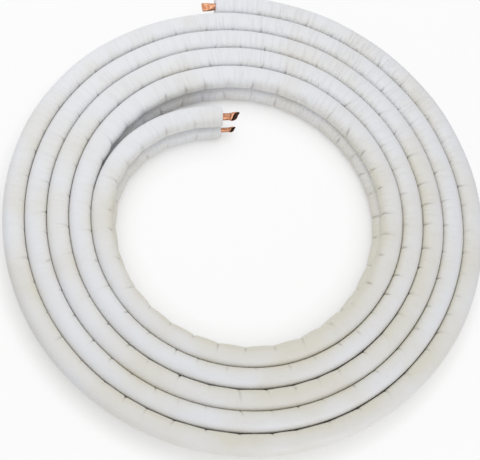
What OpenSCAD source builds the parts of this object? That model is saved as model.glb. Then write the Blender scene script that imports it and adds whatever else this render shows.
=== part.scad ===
// Coil of paired copper line for cooling plant: a gas tube and a liquid tube, each in a foam sleeve,
// wound together in a flat spiral, with the pinched copper standing out at both ends.
// It lies on the plane z = 0. The inner end faces +X and the outer end faces -X, both at the +Y side.

/* [Tubes] */
// Outside diameter of the larger copper tube, mm
gas_tube_od = 9.52; // [6.35:0.01:15.88]
// Outside diameter of the smaller copper tube, mm
liquid_tube_od = 6.35; // [6.35:0.01:9.52]
// Wall of both copper tubes, mm
tube_wall = 0.8; // [0.6:0.05:1]

/* [Insulation] */
// Thickness of the foam round each tube, mm
foam_wall = 8; // [6:0.5:13]
// Room between a copper tube and the bore of its sleeve, each side, mm
tube_fit = 0.15; // [0.1:0.05:0.3]

/* [Coil] */
// Number of whole turns
turns = 5; // [3:1:7]
// Radius to the middle of the innermost turn, mm
inner_radius = 187; // [150:1:260]
// Room between one turn and the next, mm
turn_gap = 0.4; // [0.3:0.1:2]
// How much looser the coil lies after every second turn, mm
loose_gap = 1.5; // [0:0.5:6]
// How much looser each turn lies at the top, where the ends are, mm
top_slack = 1; // [0:0.5:3]
// Room between the upper and the lower sleeve, mm
pair_gap = 0.2; // [0.1:0.1:1]
// How much nearer to the hole the lower tube lies than the upper one, mm
pair_lean = 7; // [0:1:9]
// How far the loose inner end has sprung into the hole, mm
inner_spring = 34; // [10:1:45]

/* [Ends] */
// Straight run of each sleeve at the inner end, mm
inner_run = 22; // [4:1:40]
// Round copper that stands out of the inner end of each sleeve, mm
inner_stub = 15; // [3:1:25]
// Round copper that stands out of the outer end of each sleeve, mm
outer_stub = 6; // [3:1:25]
// Length of the flattened end of the gas tube, mm
gas_pinch = 13; // [8:1:20]
// Length of the flattened end of the liquid tube, mm
liquid_pinch = 9; // [6:1:16]
// Gap that is left open in the mouth of a flattened end, mm
mouth_gap = 1.6; // [0.4:0.1:2]

/* [Hidden] */
// Which piece to show

$fn = 96;

// Sleeve bores and outside diameters
gas_bore = gas_tube_od + 2 * tube_fit;
liquid_bore = liquid_tube_od + 2 * tube_fit;
gas_sleeve_od = gas_bore + 2 * foam_wall;
liquid_sleeve_od = liquid_bore + 2 * foam_wall;

// Heights of the two tubes' middles: the liquid line on the ground, the gas line leaning on top of it
pair_reach = (liquid_sleeve_od + gas_sleeve_od) / 2 + pair_gap;
liquid_z = liquid_sleeve_od / 2;
gas_z = liquid_z + sqrt(pow(pair_reach, 2) - pow(pair_lean, 2));

// Where turn i crosses the Y axis: the top crossings at +Y and the bottom crossings at -Y.
// The tube runs across the axis square at each of them, so half circles join into a smooth spiral.
turn_pitch = max(gas_sleeve_od, liquid_sleeve_od) + turn_gap;
function bottom(i) = inner_radius + i * turn_pitch + floor(i / 2) * loose_gap;
function top(i) = bottom(i) - (turns - i) * top_slack;

// The middle of the coil's box, which is brought to x = y = 0
last = turns - 1;
left_reach = (top(last) + bottom(last)) / 2;
right_reach = (top(turns) + bottom(last)) / 2;
centre = [(right_reach - left_reach) / 2, (top(turns) - bottom(last)) / 2];

// The innermost left half: its radius, how far its middle lies from y = 0, and where its sprung end lies
first_radius = (top(0) + bottom(0)) / 2;
first_middle = (top(0) - bottom(0)) / 2;
inner_y = top(0) - inner_spring;

// A flattened end starts with a crimp ring this much wider than the tube, each side
crimp_step = 0.15;
crimp_length = 0.6;
// A round tube pressed flat keeps its girth: two flats, and two sides as high as the gap
pinch_thickness = mouth_gap + 2 * tube_wall;
function pinch_width(od) = PI * (od - tube_wall) / 2 - mouth_gap + tube_wall;
// Half the width of the open mouth, and of the opening where it leaves the round bore
function mouth_half(od) = pinch_width(od) / 2 - tube_wall;
function throat_half(od) = 0.38 * (od - 2 * tube_wall);

module copper() color([0.72, 0.42, 0.27]) children();
module foam() color([0.93, 0.93, 0.92]) children();

// Section of a tube
module ring(od, bore) {
    difference() {
        circle(d = od);
        circle(d = bore);
    }
}

// Half a turn of the children's section from the bottom crossing at -Y up to the top crossing,
// on the right (side = 1) or the left (side = -1); a sweep of 90 degrees stops at the side
module half_turn(y_bottom, y_top, side, sweep = 180) {
    translate([0, (y_top - y_bottom) / 2, 0])
        mirror([side < 0 ? 1 : 0, 0, 0])
            rotate([0, 0, -90])
                rotate_extrude(angle = sweep)
                    translate([(y_top + y_bottom) / 2, 0])
                        children();
}

// The loose inner end: a tighter quarter turn from the left side up, and then a straight run along +X
module sprung_end(lean, run) {
    translate([-inner_spring, first_middle, 0])
        mirror([1, 0, 0])
            rotate_extrude(angle = 90)
                translate([first_radius - inner_spring - lean, 0])
                    children();
    translate([-inner_spring, inner_y - lean, 0])
        rotate([0, 90, 0])
            linear_extrude(run)
                children();
}

// The whole spiral of a tube: left halves run in from top(i), right halves run out to top(i + 1),
// and the first left half is sprung. A tube that leans lies nearer to the hole all round.
module spiral(od, bore, lean, run) {
    for (i = [0 : last]) {
        half_turn(bottom(i) - lean, top(i) - lean, -1, i == 0 ? 90 : 180) ring(od, bore);
        half_turn(bottom(i) - lean, top(i + 1) - lean, 1) ring(od, bore);
    }
    sprung_end(lean, run) ring(od, bore);
}

// A flattened tube end that points along +X, with the crimp ring on the plane x = 0
module pinched_end(od, length) {
    width = pinch_width(od);
    corner = width / 6;
    mouth = mouth_half(od);
    throat = throat_half(od);
    difference() {
        hull() {
            rotate([0, 90, 0])
                cylinder(d = od + 2 * crimp_step, h = crimp_length, $fn = 32);
            translate([length - corner, 0, -pinch_thickness / 2])
                for (y = [-1, 1])
                    translate([0, y * (width / 2 - corner), 0])
                        cylinder(r = corner, h = pinch_thickness, $fn = 32);
        }
        translate([0, 0, -mouth_gap / 2])
            linear_extrude(mouth_gap)
                polygon([
                    [0, -throat], [length - corner, -mouth], [length + 1, -mouth],
                    [length + 1, mouth], [length - corner, mouth], [0, throat]
                ]);
    }
}

// A copper tube: its spiral, a round stub at each end, and both ends pressed flat
module copper_tube(od, pinch, lean) {
    bore = od - 2 * tube_wall;
    spiral(od, bore, lean, inner_run + inner_stub);
    translate([inner_run + inner_stub - inner_spring, inner_y - lean, 0])
        pinched_end(od, pinch);
    translate([-outer_stub, top(turns) - lean, 0]) {
        rotate([0, 90, 0])
            linear_extrude(outer_stub)
                ring(od, bore);
        mirror([1, 0, 0])
            pinched_end(od, pinch);
    }
}

module place(z) translate([-centre[0], -centre[1], z]) children();

module gas_foam_sleeve()
    foam() place(gas_z) spiral(gas_sleeve_od, gas_bore, 0, inner_run);
module gas_copper_tube()
    copper() place(gas_z) copper_tube(gas_tube_od, gas_pinch, 0);
module liquid_foam_sleeve()
    foam() place(liquid_z) spiral(liquid_sleeve_od, liquid_bore, pair_lean, inner_run);
module liquid_copper_tube()
    copper() place(liquid_z) copper_tube(liquid_tube_od, liquid_pinch, pair_lean);

gas_foam_sleeve();
gas_copper_tube();
liquid_foam_sleeve();
liquid_copper_tube();
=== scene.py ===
import math

import bpy
import numpy as np
from bpy.props import FloatProperty, FloatVectorProperty, IntProperty, PointerProperty
from mathutils import Matrix, Vector


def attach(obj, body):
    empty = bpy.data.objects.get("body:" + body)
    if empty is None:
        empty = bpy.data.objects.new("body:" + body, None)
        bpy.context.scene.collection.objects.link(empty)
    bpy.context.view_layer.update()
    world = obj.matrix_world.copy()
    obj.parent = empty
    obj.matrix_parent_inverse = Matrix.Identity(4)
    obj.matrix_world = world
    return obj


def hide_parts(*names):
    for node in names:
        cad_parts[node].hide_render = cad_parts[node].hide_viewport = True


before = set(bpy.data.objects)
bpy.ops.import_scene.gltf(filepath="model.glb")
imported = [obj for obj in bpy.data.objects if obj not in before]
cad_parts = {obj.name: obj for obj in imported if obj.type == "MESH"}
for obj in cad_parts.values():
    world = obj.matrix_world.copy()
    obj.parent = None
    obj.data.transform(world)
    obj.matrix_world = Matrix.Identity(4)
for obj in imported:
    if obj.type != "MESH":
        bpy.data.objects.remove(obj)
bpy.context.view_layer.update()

bl_info = {
    "name": "Paired copper line coil",
    "version": (1, 0, 0),
    "blender": (4, 5, 0),
    "location": "View3D > Sidebar > Copper coil",
    "description": "Dresses a flat coil of two foam-sleeved copper tubes and sets its stage",
    "category": "Object",
}

BODY = "root"
PHOTO_WIDTH = 480
PHOTO_HEIGHT = 460

# The UV map of every piece, and the length in metres of one UV unit
UV_NAME = "unrolled"
UV_UNIT = 0.1
# Point attributes that the foam's material reads
CREASE = "crease"
# The mask of painted shade in cream, low on the sleeves and towards the coil's bottom
PAINTED_SHADE = "painted_shade_and_cream"
RUCKED = "rucked"
# The point attribute that tells the inside of a copper tube from its outside
INSIDE = "inside"


def length(name, description, default):
    """A length in metres."""
    return FloatProperty(name=name, description=description, default=default, unit="LENGTH", precision=5)


def angle(name, description, default):
    """An angle, given in degrees and kept in radians."""
    return FloatProperty(name=name, description=description, default=math.radians(default), subtype="ANGLE")


def number(name, description, default):
    """A plain number."""
    return FloatProperty(name=name, description=description, default=default, precision=4)


def colour(name, description, default):
    """A colour in linear light."""
    return FloatVectorProperty(
        name=name, description=description, default=default, size=3, subtype="COLOR", min=0, max=1
    )


class CoilRoute(bpy.types.PropertyGroup):
    """The path that both tubes follow, as in the CAD model"""

    turns: IntProperty(name="Turns", description="Number of whole turns", default=5, min=1)
    inner_radius: length("Inner radius", "Radius to the middle of the innermost turn", 0.187)
    pitch: length("Pitch", "From one turn's middle to the next one's", 0.02622)
    loose_gap: length("Loose gap", "How much looser the coil lies after every second turn", 0.0015)
    top_slack: length("Top slack", "How much looser each turn lies where the ends are", 0.001)
    inner_spring: length("Inner spring", "How far the inner end has sprung into the hole", 0.034)
    inner_run: length("Inner run", "Straight run of each sleeve at the inner end", 0.022)
    gas_height: length("Gas height", "Height of the gas tube's middle over the ground", 0.034736)
    liquid_height: length("Liquid height", "Height of the liquid tube's middle over the ground", 0.011325)
    lean: length("Lean", "How much nearer to the hole the liquid tube lies than the gas tube", 0.007)
    sway: length("Sway", "How far the turns wander sideways, all together", 0.0009)
    lift: length("Lift", "How far the upper turns ride up over the lower ones", 0.0018)


class FoamSleeves(bpy.types.PropertyGroup):
    """Sizes and colours of the two foam sleeves"""

    gas_radius: length("Gas sleeve radius", "Outside radius of the gas tube's sleeve", 0.01291)
    gas_bore: length("Gas bore radius", "Radius of the hole for the gas tube", 0.00491)
    liquid_radius: length("Liquid sleeve radius", "Outside radius of the liquid tube's sleeve", 0.011325)
    liquid_bore: length("Liquid bore radius", "Radius of the hole for the liquid tube", 0.003325)
    squareness: number("Squareness", "Power of the section's superellipse, 2 for a circle", 2.35)
    tightness: number("Tightness", "How much squarer the section's upper half is at the coil's top", 0.9)
    spread: length("Spread", "The most that the foam spreads sideways against the next turn", 0.0011)
    bulge: length("Bulge", "How far the foam bulges into the hole between two buckles", 0.0018)
    contact: length("Contact", "Room left between two turns that press together", 0.00015)
    notch_spacing: length("Notch spacing", "From one buckle of the foam to the next", 0.037)
    notch_depth: length("Notch depth", "Depth of the deepest buckles", 0.0023)
    notch_width: length("Notch width", "Half the width of a buckle along the tube", 0.0008)
    seed: IntProperty(name="Seed", description="Start of the random draws", default=7)
    skin_white: colour("Skin white", "Colour of the lit skin", (0.865, 0.873, 0.905))
    # Cream for random patches, and for painted shade low down and between turns
    shade_and_patch_cream: colour("Cream of patches and painted shade", "Colour of the skin low down and between turns", (0.79, 0.765, 0.68))
    # Painted shade that darkens the buckles and wrinkles
    crease_shade_colour: colour("Painted crease shade", "Colour of the painted shade in the buckles and wrinkles", (0.47, 0.45, 0.42))


class CopperTubes(bpy.types.PropertyGroup):
    """Sizes and colours of the two copper tubes"""

    gas_radius: length("Gas tube radius", "Outside radius of the gas tube", 0.00476)
    liquid_radius: length("Liquid tube radius", "Outside radius of the liquid tube", 0.003175)
    wall: length("Wall", "Wall of both tubes", 0.0008)
    inner_stub: length("Inner stub", "Round tube outside the sleeve at the inner end", 0.015)
    outer_stub: length("Outer stub", "Round tube outside the sleeve at the outer end", 0.006)
    gas_pinch: length("Gas pinch", "Length of the gas tube's flattened ends", 0.013)
    liquid_pinch: length("Liquid pinch", "Length of the liquid tube's flattened ends", 0.009)
    mouth_gap: length("Mouth gap", "Gap left open between the flattened walls", 0.0016)
    pinch_lead: number("Pinch lead", "Where the tube starts to narrow before its flat end, in pinches", 0.4)
    inner_slant: number("Inner slant", "How far the inner mouths' upper lip is cut back, in pinches", 0.5)
    inner_skew: number("Inner skew", "How far the inner mouths' cut slants across the tube, in pinches", 0.9)
    outer_slant: number("Outer slant", "How far the outer mouths' lower lip is cut back, in pinches", 0.15)
    bright: colour("Bright copper", "Colour of rubbed copper", (0.57, 0.29, 0.18))
    tarnish: colour("Tarnished copper", "Colour of tarnished copper", (0.38, 0.17, 0.09))
    # Dark oxide scale inside the tubes, in one colour with the painted shade in their mouths
    scale: colour("Scale", "Colour of the dark scale and painted shade inside the tube", (0.035, 0.02, 0.014))


class CoilStage(bpy.types.PropertyGroup):
    """Camera, lamps and floor"""

    distance: length("Distance", "From the coil's middle to the camera", 1.5)
    azimuth: angle("Azimuth", "Where the camera stands round the coil", -26.75)
    elevation: angle("Elevation", "How far the camera stands over the horizon", 65.36)
    roll: angle("Roll", "How far the camera is turned about its own line of sight", 21.05)
    focal: number("Focal length", "Focal length in pixels of the frame", 1129.99)
    middle_x: number("Middle x", "Where the line of sight meets the frame, pixels from the left", 244.16)
    middle_y: number("Middle y", "Where the line of sight meets the frame, pixels from the top", 218.74)
    key_power: number("Key power", "Power of the large lamp over the coil in watts", 4.5)
    fill_power: number("Fill power", "Power of the lamp in front of the coil in watts", 4.5)
    sky: number("Sky", "Strength of the even light from all round", 0.54)
    floor: colour("Floor", "Colour of the floor", (0.86, 0.86, 0.86))


def wrapped(turn):
    """An angle brought between minus and plus half a turn."""
    return (turn + np.pi) % (2 * np.pi) - np.pi


def bell(distance, width):
    """A bell curve, 1 in the middle."""
    return np.exp(-0.5 * (distance / width) ** 2)


def signed_power(value, power):
    """A power of the value's size, with the value's sign."""
    return np.sign(value) * np.abs(value) ** power


def ease(t):
    """A smooth step from 0 to 1."""
    t = np.clip(t, 0, 1)
    return t * t * (3 - 2 * t)


def waves(x, parts):
    """A sum of sines of x, each part given as its share, its rate and its phase."""
    return sum(share * np.sin(rate * x + phase) for share, rate, phase in parts)


def round_section(columns):
    """Even angles round a section as one row: 0 is the outer side of the bend, and a quarter turn is up."""
    return np.linspace(0, 2 * np.pi, columns, endpoint=False)[None, :]


# Waves of the path: sideways over the turned angle, and upwards over the arc length in metres
SWAY_WAVES = ((0.6, 3, 0.7), (0.4, 5, 2.1))
RISE_WAVES = ((0.6, 5.3, 0), (0.4, 8.9, 1.3))
RISE_MEAN = 0.6
RISE_SWING = 0.4


class Path:
    """The path of a tube, worked out from the route's sizes.

    Turn i crosses the Y axis at top(i) and bottom(i). Half circle k, an odd k on the right and an even
    one on the left, joins two crossings: its radius is half their sum and its middle half their
    difference. The first half's upper quarter is sprung, bent tighter about a middle farther left.
    A tube that leans lies nearer to the hole all round. Arc length s grows outward from the sprung
    quarter; before 0 and past the end the path is straight.
    """

    def __init__(self, route, lean):
        turn = np.arange(route.turns + 1)
        bottom = route.inner_radius + turn * route.pitch + (turn // 2) * route.loose_gap
        top = bottom - (route.turns - turn) * route.top_slack
        half = np.arange(2 * route.turns)
        high, low = top[(half + 1) // 2], bottom[half // 2]
        # One entry for each arc: the sprung quarter, the rest of the first half, and every other half
        arc_of = np.insert(half, 0, 0)
        self.radius = ((high + low) / 2 - lean)[arc_of]
        self.middle = np.stack([np.zeros(len(arc_of)), ((high - low) / 2)[arc_of]], -1)
        self.radius[0] -= route.inner_spring
        self.middle[0, 0] = -route.inner_spring
        begin = np.insert(half.astype(float), 1, 0.5)
        self.begin = np.pi / 2 + np.pi * begin
        sweep = np.pi * np.diff(np.append(begin, len(half)))
        self.start = np.concatenate([[0], np.cumsum(sweep * self.radius)])
        self.end = self.start[-1]
        # The box's middle goes to x = y = 0, as in the CAD model
        self.centre = np.array([(self.radius[-1] - self.radius[-2]) / 2, self.middle[-1, 1]])
        self.sway, self.lift = route.sway, route.lift

    def locate(self, s):
        """The arc, its outward direction and the turned angle at arc lengths s, and s kept on the spiral."""
        on = np.clip(s, 0, self.end)
        arc = np.clip(np.searchsorted(self.start, on, side="right") - 1, 0, len(self.radius) - 1)
        turned = self.begin[arc] + (on - self.start[arc]) / self.radius[arc]
        return arc, np.stack([np.cos(turned), np.sin(turned)], -1), turned, on

    def at(self, s):
        """Points and outward directions at arc lengths s, which may be any array."""
        arc, out, turned, on = self.locate(s)
        along = np.stack([-out[..., 1], out[..., 0]], -1)
        point = self.middle[arc] + self.radius[arc][..., None] * out - self.centre
        point += (s - on)[..., None] * along
        # All turns wander together, so that they stay as far apart as they are
        wander = self.sway * waves(turned, SWAY_WAVES)
        return point + wander[..., None] * out, out

    def turned(self, s):
        """The angle about the coil's middle at arc lengths s, a whole turn more for each turn."""
        return self.locate(s)[2]

    def pitch_at(self, s, step):
        """How far the next turn out (step 1) or in (step -1) lies from this one, or no number at the last."""
        arc, out, turned, _ = self.locate(s)
        # The first left half is two arcs, which the second turn's left half lies against
        other = np.where(arc < 2, 1, arc) + 2 * step
        other = np.where((other == 1) & (turned + 2 * np.pi * step < self.begin[1]), 0, other)
        known = np.clip(other, 0, len(self.radius) - 1)
        apart = self.radius[known] - self.radius[arc]
        apart = apart + np.sum((self.middle[known] - self.middle[arc]) * out, -1)
        return np.where(other == known, step * apart, np.nan)

    def rise(self, s):
        """How far the upper layer rides up at arc length s: a slow uneven wave that never dips."""
        return self.lift * (RISE_MEAN + RISE_SWING * waves(s, RISE_WAVES))

    def sweep(self, s, across, upward, height, upper):
        """The surface of a tube: the path's point at s, with a section laid across it.

        across counts from the path towards the outer side of the bend, and upward from the tube's middle.
        """
        point, out = self.at(s)
        z = height + upward + (self.rise(s) if upper else 0)
        # What would sink into the ground is pressed flat on it
        z = np.maximum(z, 0)
        return np.concatenate([point + across[..., None] * out, z[..., None]], -1)

    def rungs(self, spacing):
        """Even arc lengths over the whole spiral, both ends included."""
        return np.linspace(0, self.end, int(self.end / spacing) + 1)


def grid_mesh(name, points, unrolled, masks):
    """A closed skin from a grid of points (row, column): the last row joins the first, and so do columns.

    unrolled gives the length along and the girth round each point for the UV map; the column that closes
    the tube takes the whole girth instead of 0. masks are point attributes.
    """
    rows, columns = points.shape[:2]
    row, column = np.meshgrid(np.arange(rows), np.arange(columns), indexing="ij")
    steps = ((0, 0), (1, 0), (1, 1), (0, 1))
    corners = [((row + a) % rows) * columns + (column + b) % columns for a, b in steps]
    faces = np.stack(corners, -1).reshape(-1, 4)
    mesh = bpy.data.meshes.new(name)
    mesh.from_pydata(points.reshape(-1, 3).tolist(), [], faces.tolist())
    along, girth = unrolled
    u = np.stack([along[(row + a) % rows, (column + b) % columns] for a, b in steps], -1)
    v = np.stack([girth[(row + a) % rows] * (column + b) / columns for a, b in steps], -1)
    layer = mesh.uv_layers.new(name=UV_NAME)
    layer.data.foreach_set("uv", (np.stack([u, v], -1) / UV_UNIT).astype(np.float32).ravel())
    for key, values in masks.items():
        attribute = mesh.attributes.new(key, "FLOAT", "POINT")
        attribute.data.foreach_set("value", values.astype(np.float32).ravel())
    mesh.shade_smooth()
    mesh.validate()
    return mesh


def put(mesh, node, material):
    """Shows a mesh in place of the CAD node of its name, riding on the only body."""
    mesh.materials.append(material)
    piece = bpy.data.objects.new(mesh.name, mesh)
    bpy.context.scene.collection.objects.link(piece)
    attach(piece, BODY)
    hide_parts(node)
    return piece


# How one buckle differs from the next: the step to it in spacings, its depth as a share of the deepest,
# its middle (mean and deviation) and its spread in degrees round the section, its slant in metres a radian
BUCKLE_STEPS = (0.78, 1.24)
BUCKLE_DEPTHS = (0.3, 1)
BUCKLE_MIDDLE = (166, 9)
BUCKLE_SPREADS = (16, 46)
BUCKLE_SLANT = 0.0016
# More steps are drawn than fit, so that the buckles reach the end of the sleeve
SPARE_STEPS = 1.4
# The depth's factor at the inner end, its loss on the way to the outer end, and its change round the coil
DEPTH_AT_START = 1.15
DEPTH_LOSS = 0.45
DEPTH_MEAN = 0.78
DEPTH_TO_BOTTOM = 0.12
DEPTH_TO_RIGHT = 0.17
# How the middle, in degrees, and the spread change from the coil's top to its bottom
MIDDLE_RISE = 13
SPREAD_MEAN = 0.8
SPREAD_TO_TOP = 0.2


def buckles(path, foam, rng, first, last):
    """Where and how the foam has buckled on the inner side of its bend, as one array for each property.

    The places lie a random step apart. Buckles are deeper on the tighter inner turns, on the coil's right
    and at its bottom. They are longer at its top, and at its bottom they sit higher on the sleeve.
    """
    count = int(SPARE_STEPS * (last - first) / foam.notch_spacing)
    place = first + np.cumsum(foam.notch_spacing * rng.uniform(*BUCKLE_STEPS, count))
    place = place[place < last - foam.notch_spacing / 2]
    turned = path.turned(place)
    by_bend = DEPTH_AT_START - DEPTH_LOSS * place / path.end
    by_side = DEPTH_MEAN - DEPTH_TO_BOTTOM * np.sin(turned) + DEPTH_TO_RIGHT * np.cos(turned)
    longer = SPREAD_MEAN + SPREAD_TO_TOP * np.sin(turned)
    return {
        "place": place,
        "depth": foam.notch_depth * rng.uniform(*BUCKLE_DEPTHS, len(place)) * by_bend * by_side,
        "middle": np.radians(rng.normal(*BUCKLE_MIDDLE, len(place)) - MIDDLE_RISE * (1 - np.sin(turned))),
        "spread": np.radians(rng.uniform(*BUCKLE_SPREADS, len(place))) * longer,
        "slant": rng.normal(0, BUCKLE_SLANT, len(place)),
    }


# Rows of the skin: distances from a buckle, and shares of the way that is left between two buckles
NEAR_ROWS = np.array([-0.006, -0.0036, -0.0018, -0.0008, 0, 0.0008, 0.0018, 0.0036, 0.006])
BETWEEN_ROWS = np.array([0.25, 0.5, 0.75])


def rows_at_buckles(place, first, last):
    """Arc lengths of the skin's rows: crowded at each buckle, and evenly spread between two buckles."""
    reach = NEAR_ROWS[-1]
    crowded = (place[:, None] + NEAR_ROWS).ravel()
    stops = np.concatenate([[first - reach], place, [last + reach]])
    room = np.diff(stops) - 2 * reach
    between = (stops[:-1] + reach)[:, None] + room[:, None] * BETWEEN_ROWS
    rows = np.sort(np.concatenate([crowded, between.ravel()]))
    return rows[(rows > first) & (rows < last)]


# The rounded edges of a cut end, as rows of (distance from the cut, depth under the skin) from the skin
# to the cut face, and of (distance from the cut, depth behind the bore's wall) from there to the bore
SKIN_ROUNDING = ((0.0012, 0), (0.0004, 0.0002), (0, 0.0009), (0, 0.0013))
BORE_ROUNDING = ((0, 0.0007), (0, 0.0003), (0.0004, 0))
CUT_EDGE = SKIN_ROUNDING[0][0]
# Rows of the bore and of the copper tubes, and how far from a cut end the bore's rows stay
RUNG_SPACING = 0.015
BORE_MARGIN = 0.005


def sleeve_rows(path, place, first, last, radius, bore):
    """The rows of a sleeve: arc lengths, radii, and which rows lie on the skin and which on a cut end.

    They run along the skin, over the outer cut, back through the bore, and over the inner cut.
    """
    skin = rows_at_buckles(place, first + CUT_EDGE, last - CUT_EDGE)
    from_skin = [(away, radius - deep) for away, deep in SKIN_ROUNDING]
    to_bore = [(away, bore + deep) for away, deep in BORE_ROUNDING]
    away, turned_in = np.array(from_skin + to_bore).T
    rungs = path.rungs(RUNG_SPACING)
    rungs = rungs[(rungs > first + BORE_MARGIN) & (rungs < last - BORE_MARGIN)][::-1]
    s = np.concatenate([skin, last - away, rungs, first + away[::-1]])
    skin_radii = np.full(len(skin), radius)
    bore_radii = np.full(len(rungs), bore)
    r = np.concatenate([skin_radii, turned_in, bore_radii, turned_in[::-1]])
    is_skin = np.concatenate([np.ones(len(skin)), np.zeros(len(s) - len(skin))])[:, None]
    on_cut = (np.minimum(np.abs(s - first), np.abs(s - last)) < CUT_EDGE / 2)[:, None]
    return s, r, is_skin, on_cut


# The lips beside a buckle: their height as a share of its depth, how far away they stand, and their width
LIP_HEIGHT = 0.2
LIP_AWAY = 0.0036
LIP_WIDTH = 0.0016


def dents_and_lips(foam, notch, s, around, is_skin):
    """How deep the nearest buckle dents the skin, and how high the lips stand that it pushes up beside it.

    dent = depth bell(beside / width) bell(off / spread), where beside counts along the tube and off round it.
    """
    after = np.clip(np.searchsorted(notch["place"], s), 1, len(notch["place"]) - 1)
    nearest = after - (s - notch["place"][after - 1] < notch["place"][after] - s)
    place, depth, middle, spread, slant = (notch[key][nearest][:, None] for key in notch)
    off = wrapped(around - middle)
    beside = s[:, None] - place - slant * off
    arc = bell(off, spread) * is_skin
    dent = depth * bell(beside, foam.notch_width) * arc
    lips = LIP_HEIGHT * depth * bell(np.abs(beside) - LIP_AWAY, LIP_WIDTH) * arc * np.abs(np.sin(around))
    return dent, lips


def between_buckles(place, s):
    """0 at a buckle, 1 half way to the next one."""
    after = np.clip(np.searchsorted(place, s), 1, len(place) - 1)
    way = (s - place[after - 1]) / (place[after] - place[after - 1])
    return np.clip(4 * way * (1 - way), 0, 1)


# The sine of the turned angle from which the foam fills the room beside it, and the rise until it is full
FILL_START = -1.1
FILL_RISE = 0.7
# Where on the section the foam bulges into the hole, and how far round
BULGE_MIDDLE = np.radians(170)
BULGE_SPREAD = np.radians(26)


def spreading(path, foam, s, radius, around, between):
    """How far the foam spreads towards the turns beside it: half the room between them, up to the most.

    At the coil's bottom, less of the room is filled. On the inner side, the foam also bulges from one
    buckle to the next where the room allows it, so that the hole's rim runs in chords.
    """
    filled = ease((np.sin(path.turned(s)) - FILL_START) / FILL_RISE)
    outward, inward = ((path.pitch_at(s, step) - foam.contact) / 2 - radius for step in (1, -1))
    outward, pressed = (np.clip(np.nan_to_num(room), 0, foam.spread) * filled for room in (outward, inward))
    free = np.where(np.isnan(inward), foam.bulge, np.clip(inward - pressed, 0, foam.bulge))
    bulge = (free * between)[:, None] * bell(wrapped(around - BULGE_MIDDLE), BULGE_SPREAD)
    return np.where(np.cos(around) > 0, outward[:, None], pressed[:, None] + bulge)


# Painted shade in cream on the low inner side: its mean, and its gain towards the coil's bottom
SHADE_MEAN = 0.85
SHADE_TO_BOTTOM = 0.38
# Painted shade in cream all round the section: its gain towards the bottom, and its change there from turn to
# turn
SHADE_ALL_ROUND = 0.2
SHADE_ALTERNATION = 0.16
# How far past the coil's bottom the painted shade is most, and where round the section it is least
SHADE_TURN = np.radians(5)
SHADE_LEAST = np.radians(45)
# The turned angle at the first turn's bottom
BOTTOM = 1.5 * np.pi
# The wrinkles: where round the section they are deepest, and their share elsewhere and there
RUCK_MIDDLE = np.radians(150)
RUCK_SPREAD = np.radians(60)
RUCK_ELSEWHERE = 0.25
RUCK_INSIDE = 0.75
# Their mean, their gain towards the coil's top, and how far before the top they are deepest
RUCK_MEAN = 0.55
RUCK_TO_TOP = 0.45
RUCK_TURN = 0.3
# The crumpled place: its turned angle, its spread, and how much deeper its wrinkles are
CRUMPLE_MIDDLE = np.radians(55)
CRUMPLE_SPREAD = np.radians(24)
CRUMPLE_GAIN = 0.7


def skin_masks(path, foam, s, around, dent):
    """The masks of the foam's skin: the buckles' depth for the painted shade in them, painted shade in cream,
    and how deep the wrinkles are.
    """
    turned = path.turned(s)
    # Painted shade in cream lies low on the inner side, more towards the coil's bottom, and there it
    # alternates by turns
    shade_towards_bottom = SHADE_MEAN - SHADE_TO_BOTTOM * np.sin(turned - SHADE_TURN)
    shade_by_turns = SHADE_ALTERNATION * np.cos((turned - BOTTOM) / 2) - SHADE_ALL_ROUND * np.sin(turned - SHADE_TURN)
    inner_side = bell(wrapped(around - RUCK_MIDDLE), RUCK_SPREAD)
    # The film is most crumpled at the upper right of the outer turns
    crumpled = bell(wrapped(turned - CRUMPLE_MIDDLE), CRUMPLE_SPREAD) * s / path.end
    by_side = RUCK_MEAN + RUCK_TO_TOP * np.sin(turned + RUCK_TURN) + CRUMPLE_GAIN * crumpled
    return {
        CREASE: np.clip(dent / foam.notch_depth, 0, 1),
        PAINTED_SHADE: (0.5 - 0.5 * np.cos(around - SHADE_LEAST)) * shade_towards_bottom[:, None] + shade_by_turns[:, None],
        RUCKED: (RUCK_ELSEWHERE + RUCK_INSIDE * inner_side) * by_side[:, None],
    }


# Unevenness of the upper sleeve's top, as waves of (radians a metre, waves round the section, phase)
UNEVEN_HEIGHT = 0.00026
UNEVEN_WAVES = ((61, 2, 0), (37, -1, 1))
# Raggedness of the cut ends, as waves round the section whose phases count in seeds
RAGGED_DEPTH = 0.00035
RAGGED_WAVES = ((1, 3, 1), (0.6, 7, 2))
# How far past the coil's top the section is squarest
SQUARE_TURN = np.radians(15)


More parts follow.
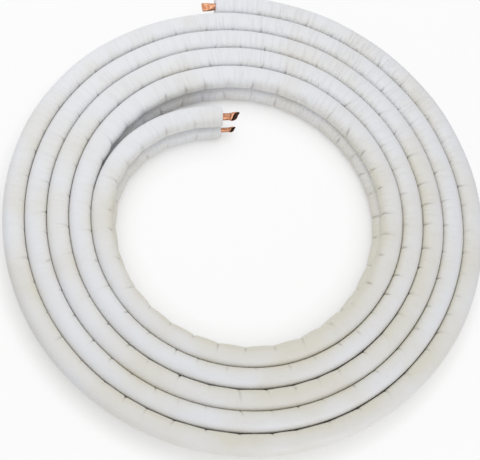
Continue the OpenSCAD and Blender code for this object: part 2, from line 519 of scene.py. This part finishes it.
def sleeve_mesh(name, path, foam, run, radius, bore, height, upper, columns, seed):
    """A foam sleeve: the outer skin along the path, the cut end, the bore back again and the other cut end.

    The skin's radius r is the sleeve's own, less a bell-shaped dent at each buckle, plus the two lips
    beside it; the upper sleeve's top is a little uneven too. The section is a superellipse,
    across = r cos^(2/m) and upward = r sin^(2/m), with m over 2 on the skin and 2 in the bore.
    """
    rng = np.random.default_rng(seed)
    first, last = -run, path.end
    notch = buckles(path, foam, rng, first, last)
    s, r, is_skin, on_cut = sleeve_rows(path, notch["place"], first, last, radius, bore)
    around = round_section(columns)
    dent, lips = dents_and_lips(foam, notch, s, around, is_skin)
    # Only what lies free on top is uneven, because the rest presses on its neighbours
    free = np.clip(np.sin(around), 0, 1) * is_skin * upper
    swell = sum(np.sin(rate * s[:, None] + times * around + phase) for rate, times, phase in UNEVEN_WAVES)
    girth = r[:, None] - dent + lips + UNEVEN_HEIGHT * swell * free
    seeded = [(share, times, phase * seed) for share, times, phase in RAGGED_WAVES]
    along = s[:, None] + RAGGED_DEPTH * waves(around, seeded) * on_cut
    # At the coil's top, the upper halves of the section are squarer
    at_top = (0.5 + 0.5 * np.sin(path.turned(s) - SQUARE_TURN)) ** 2
    squarer = at_top[:, None] * (np.sin(around) > 0)
    power = np.where(is_skin > 0, 2 / (foam.squareness + foam.tightness * squarer), 1)
    between = between_buckles(notch["place"], s)
    sideways = girth + spreading(path, foam, s, radius, around, between) * is_skin
    across = sideways * signed_power(np.cos(around), power)
    points = path.sweep(along, across, girth * signed_power(np.sin(around), power), height, upper)
    masks = skin_masks(path, foam, s, around, dent)
    return grid_mesh(name, points, (along + 0 * around, 2 * np.pi * r), masks)


# Rows over a flattened end, the way in pinches over which it flattens, and how much squarer it gets
PINCH_ROWS = 22
PINCH_EASE = 0.95
PINCH_SQUARER = 1.5
# The crease over the flat: its place, slant and width in pinches, and its depth as a share of the height
FLAT_CREASE_AT = 0.55
FLAT_CREASE_SLANT = 0.3
FLAT_CREASE_WIDTH = 0.07
FLAT_CREASE_DEPTH = 0.22


def tube_mesh(name, path, copper, run, radius, pinch, height, upper, columns):
    """A copper tube: its outside from the inner mouth to the outer one, round the lip, and back inside.

    The section is a superellipse, across = a cos^(2/m), upward = b sin^(2/m). It is a circle along the coil
    and goes over, on an eased step, into a flat slot at both ends, whose girth is that of the round tube.
    """
    wall = copper.wall
    flat_width = (np.pi * (2 * radius - wall) / 2 - copper.mouth_gap + wall) / 2
    flat_thickness = copper.mouth_gap / 2 + wall
    fraction = np.linspace(-copper.pinch_lead, 1, PINCH_ROWS)
    inner, outer = -run - copper.inner_stub, path.end + copper.outer_stub
    to_inner, to_outer = inner - pinch * fraction[::-1], outer + pinch * fraction
    outside = np.concatenate([to_inner, path.rungs(RUNG_SPACING), to_outer])
    s = np.concatenate([outside, outside[::-1]])
    inset = np.concatenate([np.zeros(len(outside)), np.full(len(outside), wall)])[:, None]
    pressed = np.maximum(inner - s, s - outer)[:, None] / pinch
    flat = ease((pressed + copper.pinch_lead) / PINCH_EASE)
    around = round_section(columns)
    half_width = radius + (flat_width - radius) * flat - inset
    half_height = radius + (flat_thickness - radius) * flat - inset
    power = 2 / (2 + PINCH_SQUARER * flat)
    across = half_width * signed_power(np.cos(around), power)
    upward = half_height * signed_power(np.sin(around), power)
    # A crease runs slantwise over the flat, and both mouths are cut at a slant
    past_crease = pressed - FLAT_CREASE_AT - FLAT_CREASE_SLANT * across / half_width
    upward = upward * (1 - FLAT_CREASE_DEPTH * (bell(past_crease, FLAT_CREASE_WIDTH) * flat))
    upper_lip = 0.5 + 0.5 * np.sin(around)
    inner_side = 0.5 - 0.5 * np.cos(around)
    at_inner = copper.inner_slant * upper_lip + copper.inner_skew * inner_side
    at_outer = -copper.outer_slant * (1 - upper_lip)
    cut_back = np.where(s[:, None] < 0, at_inner, at_outer)
    near_mouth = np.clip((pressed + copper.pinch_lead) / (1 + copper.pinch_lead), 0, 1)
    along = s[:, None] + pinch * cut_back * near_mouth
    points = path.sweep(along, across, upward, height, upper)
    masks = {INSIDE: (inset > 0) + 0 * around}
    return grid_mesh(name, points, (along, np.full(len(s), 2 * np.pi * radius)), masks)


def node_in(tree, kind, inputs, **settings):
    """Adds a node: each input is a value or another node's output, and settings are the node's own."""
    node = tree.nodes.new(kind)
    for key, value in settings.items():
        setattr(node, key, value)
    for key, value in inputs.items():
        if isinstance(value, bpy.types.NodeSocket):
            tree.links.new(value, node.inputs[key])
        else:
            node.inputs[key].default_value = value
    return node


def blend_colour(tree, factor, first, second):
    """The output of a node that goes from the first colour to the second."""
    node = node_in(tree, "ShaderNodeMix", {0: factor, 6: first, 7: second}, data_type="RGBA")
    return node.outputs[2]


def arithmetic(tree, operation, first, second=0.0, clamp=False):
    """The output of a Math node."""
    inputs = {0: first, 1: second}
    return node_in(tree, "ShaderNodeMath", inputs, operation=operation, use_clamp=clamp).outputs[0]


def spread_to(tree, value, low, high, start, end):
    """The output of a Map Range node that takes low..high to start..end."""
    inputs = {"Value": value, "From Min": low, "From Max": high, "To Min": start, "To Max": end}
    return node_in(tree, "ShaderNodeMapRange", inputs).outputs["Result"]


# Detail of the noise: for patches, and for lines and grain
PATCH_DETAIL = 3.0
LINE_DETAIL = 2.0


def cloud(tree, vector, scale, detail):
    """The output of a Noise Texture."""
    inputs = {"Vector": vector, "Scale": scale, "Detail": detail}
    return node_in(tree, "ShaderNodeTexNoise", inputs).outputs["Fac"]


def stretched_cloud(tree, unrolled, stretch):
    """The output of a Noise Texture on the UV map, drawn out by different scales along and round a tube."""
    drawn = node_in(tree, "ShaderNodeMapping", {"Vector": unrolled, "Scale": stretch}).outputs[0]
    return cloud(tree, drawn, 1.0, LINE_DETAIL)


def new_group(name, inputs, outputs):
    """An empty shader node group with its sockets, and its input and output nodes."""
    tree = bpy.data.node_groups.new(name, "ShaderNodeTree")
    for way, sockets in (("INPUT", inputs), ("OUTPUT", outputs)):
        for socket, kind in sockets.items():
            tree.interface.new_socket(name=socket, in_out=way, socket_type="NodeSocket" + kind)
    return tree, tree.nodes.new("NodeGroupInput").outputs, tree.nodes.new("NodeGroupOutput").inputs


def placed_and_unrolled(tree):
    """The Object coordinates and the UV map."""
    place = node_in(tree, "ShaderNodeTexCoord", {}).outputs["Object"]
    return place, node_in(tree, "ShaderNodeUVMap", {}, uv_map=UV_NAME).outputs["UV"]


def attribute_value(tree, key):
    """The value of a point attribute."""
    return node_in(tree, "ShaderNodeAttribute", {}, attribute_name=key).outputs["Fac"]


# What both node groups put out
GROUP_OUTPUTS = {"Color": "Color", "Roughness": "Float", "Height": "Float"}

# The foam's film: noise scales, the noise range that makes a wrinkle, and the range that patches span
WRINKLE_STRETCH = (26.0, 3.2, 1.0)
WRINKLE_RANGE = (0.36, 0.5)
PATCH_SCALE = 14.0
PATCH_RANGE = (0.3, 0.7)
GRAIN_SCALE = 420.0
RIB_SPACING = 0.0026
# How strongly the mask of painted shade and the patches turn the film cream, and how rough the patches are
SHADE_GAIN = 1.1
PATCH_AGEING = (-0.3, 0.45)
PATCH_ROUGHNESS = (0.38, 0.52)
# Shares of painted shade in the buckles and wrinkles, and heights against a wrinkle's depth of 1
BUCKLE_SHADE = 0.7
WRINKLE_SHADE = 0.07
GRAIN_HEIGHT = 0.12
RIB_HEIGHT = 0.05


def foam_skin_group():
    """The sleeves' skin: cool white and cream, the cream as random patches and as painted shade, painted
    shade in the buckles and wrinkles, fine cross wrinkles, ribs and grain.
    """
    tree, given, out = new_group(
        "foam_skin", {"White": "Color", "Cream": "Color", "CreaseShade": "Color"}, GROUP_OUTPUTS
    )
    place, unrolled = placed_and_unrolled(tree)
    crease, under, rucked = (attribute_value(tree, key) for key in (CREASE, PAINTED_SHADE, RUCKED))
    # Wrinkles run round the tube, so the noise is drawn out along the girth
    sharp = spread_to(tree, stretched_cloud(tree, unrolled, WRINKLE_STRETCH), *WRINKLE_RANGE, 0.0, 1.0)
    wrinkle = arithmetic(tree, "MULTIPLY", arithmetic(tree, "SUBTRACT", 1.0, sharp), rucked)
    patches = cloud(tree, place, PATCH_SCALE, PATCH_DETAIL)
    aged_patches = spread_to(tree, patches, *PATCH_RANGE, *PATCH_AGEING)
    # Painted shade in cream from the mask, with random cream patches on top
    painted_shade_and_cream = arithmetic(tree, "ADD", arithmetic(tree, "MULTIPLY", under, SHADE_GAIN), aged_patches, True)
    skin = blend_colour(tree, painted_shade_and_cream, given["White"], given["Cream"])
    # Painted shade darkens the buckles and the wrinkles, and makes them rougher too
    in_buckles = arithmetic(tree, "MULTIPLY", crease, BUCKLE_SHADE)
    crease_shade = arithmetic(tree, "ADD", in_buckles, arithmetic(tree, "MULTIPLY", wrinkle, WRINKLE_SHADE), True)
    tree.links.new(blend_colour(tree, crease_shade, skin, given["CreaseShade"]), out["Color"])
    rough_patches = spread_to(tree, patches, *PATCH_RANGE, *PATCH_ROUGHNESS)
    tree.links.new(arithmetic(tree, "ADD", rough_patches, crease_shade, True), out["Roughness"])
    fine = arithmetic(tree, "MULTIPLY", cloud(tree, place, GRAIN_SCALE, LINE_DETAIL), GRAIN_HEIGHT)
    length_along = node_in(tree, "ShaderNodeSeparateXYZ", {0: unrolled}).outputs["X"]
    rib_turn = arithmetic(tree, "MULTIPLY", length_along, 2 * math.pi * UV_UNIT / RIB_SPACING)
    ribs = arithmetic(tree, "MULTIPLY", arithmetic(tree, "SINE", rib_turn), RIB_HEIGHT)
    grain = arithmetic(tree, "ADD", fine, ribs)
    tree.links.new(arithmetic(tree, "SUBTRACT", grain, wrinkle), out["Height"])
    return tree


# The copper: noise scales, the noise range of the tarnished patches, and how rough bright and dull are
TARNISH_SCALE = 170.0
TARNISH_RANGE = (0.38, 0.66)
TARNISH_ROUGHNESS = (0.26, 0.5)
DRAWING_STRETCH = (4.0, 160.0, 1.0)


def copper_tarnish_group():
    """The tubes' metal: bright and tarnished patches, drawing lines along the tube, dark scale and painted
    shade inside.
    """
    tree, given, out = new_group(
        "copper_tarnish", {"Bright": "Color", "Tarnish": "Color", "Scale": "Color"}, GROUP_OUTPUTS
    )
    place, unrolled = placed_and_unrolled(tree)
    patches = spread_to(tree, cloud(tree, place, TARNISH_SCALE, PATCH_DETAIL), *TARNISH_RANGE, 0.0, 1.0)
    metal = blend_colour(tree, patches, given["Bright"], given["Tarnish"])
    inside = attribute_value(tree, INSIDE)
    # Inside the tubes: dark oxide scale and painted shade in one colour
    tree.links.new(blend_colour(tree, inside, metal, given["Scale"]), out["Color"])
    tree.links.new(spread_to(tree, patches, 0.0, 1.0, *TARNISH_ROUGHNESS), out["Roughness"])
    tree.links.new(stretched_cloud(tree, unrolled, DRAWING_STRETCH), out["Height"])
    return tree


def dressed_material(name, group, colours, bump, constants):
    """A Principled material fed by a node group; constants go on the shader's own sockets."""
    material = bpy.data.materials.new(name)
    material.use_nodes = True
    tree = material.node_tree
    shader = tree.nodes["Principled BSDF"]
    effect = node_in(tree, "ShaderNodeGroup", {}, node_tree=group)
    for key, value in colours.items():
        effect.inputs[key].default_value = (*value, 1)
    relief = node_in(tree, "ShaderNodeBump", {"Height": effect.outputs["Height"], **bump})
    tree.links.new(effect.outputs["Color"], shader.inputs["Base Color"])
    tree.links.new(effect.outputs["Roughness"], shader.inputs["Roughness"])
    tree.links.new(relief.outputs["Normal"], shader.inputs["Normal"])
    for key, value in constants.items():
        shader.inputs[key].default_value = value
    return material


# Points round each section
GAS_SLEEVE_COLUMNS = 32
LIQUID_SLEEVE_COLUMNS = 28
TUBE_COLUMNS = 28
# Relief and constants of the two materials
FILM_BUMP = {"Strength": 0.55, "Distance": 0.0009}
FILM_CONSTANTS = {"Specular IOR Level": 0.35}
METAL_BUMP = {"Strength": 0.15, "Distance": 0.0002}
METAL_CONSTANTS = {"Metallic": 1.0}


class COIL_OT_foam_sleeves(bpy.types.Operator):
    """Makes the two foam sleeves, the gas line's over the liquid line's"""

    bl_idname = "coil.foam_sleeves"
    bl_label = "Foam sleeves"

    def execute(self, context):
        route, foam = context.scene.coil_route, context.scene.coil_foam
        group = foam_skin_group()
        colours = {"White": foam.skin_white, "Cream": foam.shade_and_patch_cream, "CreaseShade": foam.crease_shade_colour}
        gas_sizes = foam.gas_radius, foam.gas_bore, route.gas_height
        liquid_sizes = foam.liquid_radius, foam.liquid_bore, route.liquid_height
        sleeves = (
            ("gas_foam_sleeve", 0, gas_sizes, True, GAS_SLEEVE_COLUMNS),
            ("liquid_foam_sleeve", route.lean, liquid_sizes, False, LIQUID_SLEEVE_COLUMNS),
        )
        for layer, (name, lean, sizes, upper, columns) in enumerate(sleeves):
            path = Path(route, lean)
            mesh = sleeve_mesh(
                name + "_skin", path, foam, route.inner_run, *sizes, upper, columns, foam.seed + layer
            )
            film = dressed_material(name + "_film", group, colours, FILM_BUMP, FILM_CONSTANTS)
            piece = put(mesh, name, film)
        return {"FINISHED"}


class COIL_OT_copper_tubes(bpy.types.Operator):
    """Makes the two copper tubes with their flattened, open ends"""

    bl_idname = "coil.copper_tubes"
    bl_label = "Copper tubes"

    def execute(self, context):
        route, copper = context.scene.coil_route, context.scene.coil_copper
        group = copper_tarnish_group()
        colours = {"Bright": copper.bright, "Tarnish": copper.tarnish, "Scale": copper.scale}
        gas_sizes = copper.gas_radius, copper.gas_pinch, route.gas_height
        liquid_sizes = copper.liquid_radius, copper.liquid_pinch, route.liquid_height
        tubes = (
            ("gas_copper_tube", 0, gas_sizes, True),
            ("liquid_copper_tube", route.lean, liquid_sizes, False),
        )
        for name, lean, sizes, upper in tubes:
            path = Path(route, lean)
            mesh = tube_mesh(name + "_drawn", path, copper, route.inner_run, *sizes, upper, TUBE_COLUMNS)
            metal = dressed_material(name + "_metal", group, colours, METAL_BUMP, METAL_CONSTANTS)
            put(mesh, name, metal)
        return {"FINISHED"}


# The floor: half its width, how far it lies under the coil, its roughness, how white it looks, and the
# distance within which the coil closes it in
FLOOR_REACH = 6.0
FLOOR_DROP = 0.0001
FLOOR_ROUGHNESS = 0.9
FLOOR_WHITENESS = 0.89
FLOOR_CLOSED_IN = 0.035
# Sizes and places of the lamps
KEY_SIZE = 1.1
KEY_PLACE = (-0.2, 0.55, 0.95)
FILL_SIZE = 1.0
FILL_PLACE = (0.3, -1.3, 0.55)


def seen_directly(tree):
    """1 for rays from the camera, from a mirror or through glass, else 0."""
    light = node_in(tree, "ShaderNodeLightPath", {}).outputs
    mirrored = arithmetic(tree, "ADD", light["Is Glossy Ray"], light["Is Transmission Ray"])
    return arithmetic(tree, "ADD", light["Is Camera Ray"], mirrored, True)


def floor_material(tone):
    """A pale floor that looks nearly white, and keeps a share of the coil's shadow."""
    material = bpy.data.materials.new("studio_floor")
    material.use_nodes = True
    tree = material.node_tree
    shader = tree.nodes["Principled BSDF"]
    shader.inputs["Base Color"].default_value = (*tone, 1)
    shader.inputs["Roughness"].default_value = FLOOR_ROUGHNESS
    glow = node_in(tree, "ShaderNodeEmission", {"Strength": 1.0})
    # Where the coil closes the floor in, as between two turns, it stays as dark as it is
    open_sky = node_in(tree, "ShaderNodeAmbientOcclusion", {"Distance": FLOOR_CLOSED_IN}).outputs["AO"]
    whiteness = arithmetic(tree, "MULTIPLY", open_sky, FLOOR_WHITENESS)
    share = arithmetic(tree, "MULTIPLY", seen_directly(tree), whiteness)
    both = node_in(tree, "ShaderNodeMixShader", {0: share, 1: shader.outputs[0], 2: glow.outputs[0]})
    tree.links.new(both.outputs[0], tree.nodes["Material Output"].inputs["Surface"])
    return material


def lamp(name, power, size, place):
    """A square soft lamp that shines on the coil's middle."""
    light = bpy.data.lights.new(name, "AREA")
    light.energy = power
    light.size = size
    holder = bpy.data.objects.new(name, light)
    aim = Vector(place).to_track_quat("Z", "Y").to_matrix().to_4x4()
    holder.matrix_world = Matrix.Translation(place) @ aim
    bpy.context.scene.collection.objects.link(holder)


class COIL_OT_stage(bpy.types.Operator):
    """Sets the floor, the soft light and the camera"""

    bl_idname = "coil.stage"
    bl_label = "Stage"

    def execute(self, context):
        scene, stage = context.scene, context.scene.coil_stage
        scene.view_settings.view_transform = "Standard"
        mesh = bpy.data.meshes.new("studio_floor")
        signs = ((-1, -1), (1, -1), (1, 1), (-1, 1))
        corners = [(x * FLOOR_REACH, y * FLOOR_REACH, -FLOOR_DROP) for x, y in signs]
        mesh.from_pydata(corners, [], [(0, 1, 2, 3)])
        mesh.materials.append(floor_material(stage.floor))
        floor = bpy.data.objects.new("studio_floor", mesh)
        scene.collection.objects.link(floor)

        world = bpy.data.worlds.new("studio_light")
        scene.world = world
        world.use_nodes = True
        tree = world.node_tree
        strength = spread_to(tree, seen_directly(tree), 0.0, 1.0, stage.sky, 1.0)
        tree.nodes["Background"].inputs["Color"].default_value = (1, 1, 1, 1)
        tree.links.new(strength, tree.nodes["Background"].inputs["Strength"])
        lamp("key_lamp", stage.key_power, KEY_SIZE, KEY_PLACE)
        lamp("fill_lamp", stage.fill_power, FILL_SIZE, FILL_PLACE)

        camera = bpy.data.objects.new("photo_camera", bpy.data.cameras.new("photo_camera"))
        camera.data.sensor_fit = "HORIZONTAL"
        camera.data.lens = stage.focal * camera.data.sensor_width / PHOTO_WIDTH
        camera.data.shift_x = (PHOTO_WIDTH / 2 - stage.middle_x) / PHOTO_WIDTH
        camera.data.shift_y = (stage.middle_y - PHOTO_HEIGHT / 2) / PHOTO_WIDTH
        level = math.cos(stage.elevation)
        back = Vector((
            math.sin(stage.azimuth) * level, -math.cos(stage.azimuth) * level, math.sin(stage.elevation),
        ))
        aim = back.to_track_quat("Z", "Y").to_matrix().to_4x4()
        rolled = aim @ Matrix.Rotation(stage.roll, 4, "Z")
        camera.matrix_world = Matrix.Translation(back * stage.distance) @ rolled
        scene.collection.objects.link(camera)
        scene.camera = camera
        return {"FINISHED"}


class COIL_PT_sidebar(bpy.types.Panel):
    """Lists the coil's pieces and their sizes"""

    bl_idname = "COIL_PT_sidebar"
    bl_label = "Copper coil"
    bl_space_type = "VIEW_3D"
    bl_region_type = "UI"
    bl_category = "Copper coil"

    def draw(self, context):
        for operator in OPERATORS:
            self.layout.operator(operator.bl_idname)
        for key in SETTINGS:
            box = self.layout.box()
            group = getattr(context.scene, key)
            for field in group.bl_rna.properties:
                if field.identifier not in {"rna_type", "name"}:
                    box.prop(group, field.identifier)


SETTINGS = {
    "coil_route": CoilRoute,
    "coil_foam": FoamSleeves,
    "coil_copper": CopperTubes,
    "coil_stage": CoilStage,
}
OPERATORS = (COIL_OT_foam_sleeves, COIL_OT_copper_tubes, COIL_OT_stage)


def register():
    for made in (*SETTINGS.values(), *OPERATORS, COIL_PT_sidebar):
        bpy.utils.register_class(made)
    for key, group in SETTINGS.items():
        setattr(bpy.types.Scene, key, PointerProperty(type=group))


def unregister():
    for key in SETTINGS:
        delattr(bpy.types.Scene, key)
    for made in reversed((*SETTINGS.values(), *OPERATORS, COIL_PT_sidebar)):
        bpy.utils.unregister_class(made)


def main():
    register()
    bpy.ops.coil.foam_sleeves()
    bpy.ops.coil.copper_tubes()
    bpy.ops.coil.stage()


if __name__ == "__main__":
    main()
